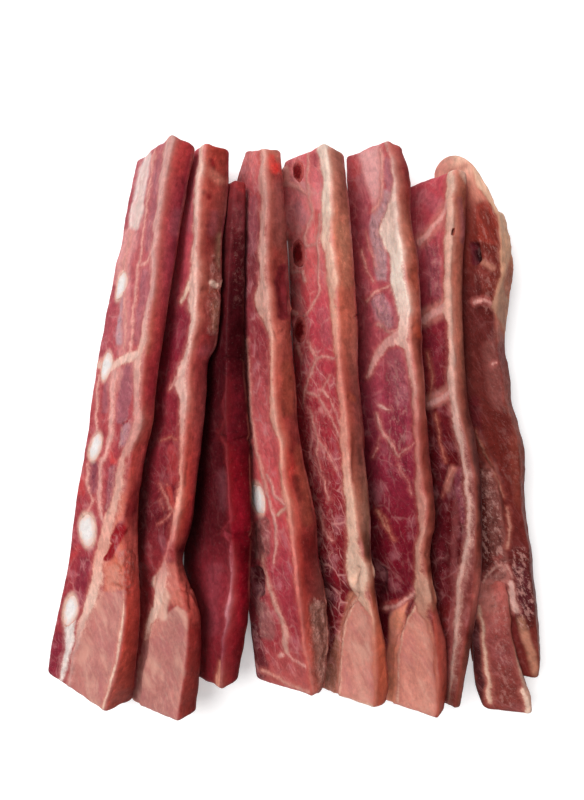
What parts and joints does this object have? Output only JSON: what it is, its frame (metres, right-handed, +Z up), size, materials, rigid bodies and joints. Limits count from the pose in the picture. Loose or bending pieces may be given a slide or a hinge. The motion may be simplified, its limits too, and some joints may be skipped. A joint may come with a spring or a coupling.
{
  "type": "pork rib strips",
  "caption": "Raw pork rib strips lying side by side, each a long leaning bar with a fat edge and rib sections in its cut face.",
  "frame": {"origin": "middle of the group's footprint, on the surface that it rests on", "axes": "+Z up, +Y along the strips towards their head ends, +X across them, the way they lean"},
  "size_m": [0.2274, 0.2593, 0.0419],
  "materials": {
    "meat": "moist satin",
    "dark_meat": "moist satin",
    "brown_meat": "moist satin",
    "cartilage": "moist gloss",
    "marrow": "moist gloss"
  },
  "bodies": {
    "root": {"strip_1": "meat", "strip_1_rib_1": "cartilage", "strip_1_rib_2": "cartilage", "strip_1_rib_3": "cartilage", "strip_1_rib_4": "cartilage", "strip_1_rib_5": "cartilage", "strip_2": "meat", "strip_3": "dark_meat", "strip_4": "meat", "strip_4_rib_1": "cartilage", "strip_5": "meat", "strip_5_rib_1": "marrow", "strip_5_rib_2": "marrow", "strip_5_rib_3": "marrow", "strip_6": "meat", "strip_7": "meat", "strip_8": "brown_meat"}
  },
  "joints": []
}
